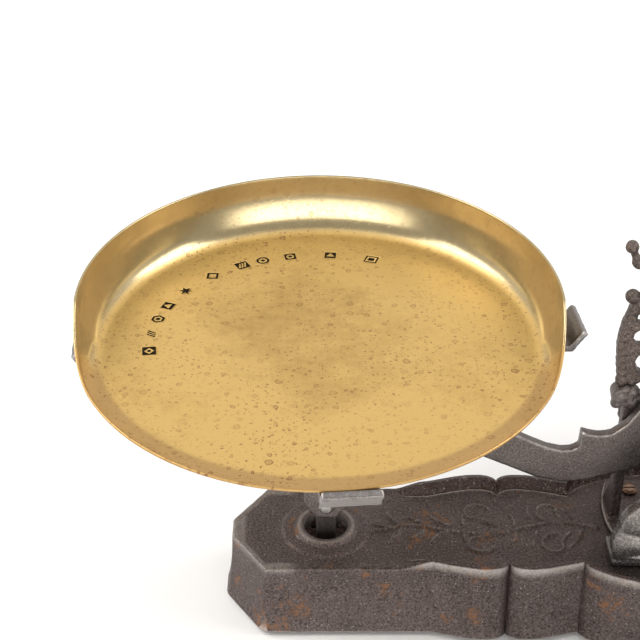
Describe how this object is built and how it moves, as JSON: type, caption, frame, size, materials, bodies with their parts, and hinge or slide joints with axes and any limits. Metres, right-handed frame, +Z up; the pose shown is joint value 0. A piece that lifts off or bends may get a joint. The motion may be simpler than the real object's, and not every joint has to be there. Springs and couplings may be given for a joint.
{
  "type": "counter scale",
  "caption": "Roberval counter scale: forged beam on a knife edge in a cast iron pillar, two round brass pans on iron crosses, low hollow cast base with ringed stem holes.",
  "frame": {"origin": "on the counter, under the middle of the beam", "axes": "+X along the beam, towards the right pan; -Y is the front; +Z is up"},
  "size_m": [0.6307, 0.2628, 0.235],
  "materials": {
    "cast_iron": "rough, brown-grey, traces of rust and red paint",
    "forged_steel": "dark, blue-grey, worn bright on its edges",
    "hard_steel": "ground",
    "screw_steel": "turned",
    "brass": "polished long ago, speckled with brown spots"
  },
  "bodies": {
    "base": {"base_casting": "cast_iron", "pillar_casting": "cast_iron", "crest_ornament": "cast_iron", "front_cheek": "cast_iron", "centre_bearing_front": "hard_steel", "centre_bearing_rear": "hard_steel", "stay_pivot": "screw_steel", "pillar_screw_left": "screw_steel", "cheek_screw_left": "screw_steel", "crest_screw_left": "screw_steel", "pillar_screw_right": "screw_steel", "cheek_screw_right": "screw_steel", "crest_screw_right": "screw_steel"},
    "beam": {"beam": "forged_steel", "centre_knife": "hard_steel", "pointer": "forged_steel", "pointer_screw": "screw_steel", "end_knife_left": "hard_steel", "end_knife_right": "hard_steel"},
    "stay": {"stay_bar_front": "forged_steel", "stay_bar_rear": "forged_steel", "stay_pin_left": "screw_steel", "stay_pin_right": "screw_steel"},
    "carrier_left": {"end_bearing_front_left": "hard_steel", "end_bearing_rear_left": "hard_steel", "hub_rivet_left": "screw_steel", "stem_rivet_left": "screw_steel", "cross_rivet_left": "screw_steel", "yoke_plate_front_left": "forged_steel", "yoke_plate_rear_left": "forged_steel", "cross_hub_left": "forged_steel", "cross_bar_long_left": "forged_steel", "cross_bar_short_left": "forged_steel", "stem_left": "forged_steel"},
    "pan_dish_left": {"pan_left": "brass"},
    "carrier_right": {"end_bearing_front_right": "hard_steel", "end_bearing_rear_right": "hard_steel", "hub_rivet_right": "screw_steel", "stem_rivet_right": "screw_steel", "cross_rivet_right": "screw_steel", "yoke_plate_front_right": "forged_steel", "yoke_plate_rear_right": "forged_steel", "cross_hub_right": "forged_steel", "cross_bar_long_right": "forged_steel", "cross_bar_short_right": "forged_steel", "stem_right": "forged_steel"},
    "pan_dish_right": {"pan_right": "brass"}
  },
  "joints": [
    {"name": "beam_rock", "type": "hinge", "parent": "base", "child": "beam", "pos_m": [0, 0, 0.138], "axis": [0, 1, 0], "range_deg": [-3.5, 3.5]},
    {"name": "stay_rock", "type": "hinge", "parent": "base", "child": "stay", "pos_m": [0, 0, 0.021], "axis": [0, 1, 0], "range_deg": [-3.5, 3.5]},
    {"name": "carrier_swing_left", "type": "hinge", "parent": "beam", "child": "carrier_left", "pos_m": [-0.188, 0, 0.138], "axis": [0, 1, 0], "range_deg": [-3.5, 3.5]},
    {"name": "pan_lift_left", "type": "slide", "parent": "carrier_left", "child": "pan_dish_left", "axis": [0, 0, 1], "range_m": [0, 0.15]},
    {"name": "carrier_swing_right", "type": "hinge", "parent": "beam", "child": "carrier_right", "pos_m": [0.188, 0, 0.138], "axis": [0, 1, 0], "range_deg": [-3.5, 3.5]},
    {"name": "pan_lift_right", "type": "slide", "parent": "carrier_right", "child": "pan_dish_right", "axis": [0, 0, 1], "range_m": [0, 0.15]}
  ],
  "couplings": [
    {"joint": "stay_rock", "follows": "beam_rock", "ratio": 1},
    {"joint": "carrier_swing_left", "follows": "beam_rock", "ratio": -1},
    {"joint": "carrier_swing_right", "follows": "beam_rock", "ratio": -1}
  ]
}
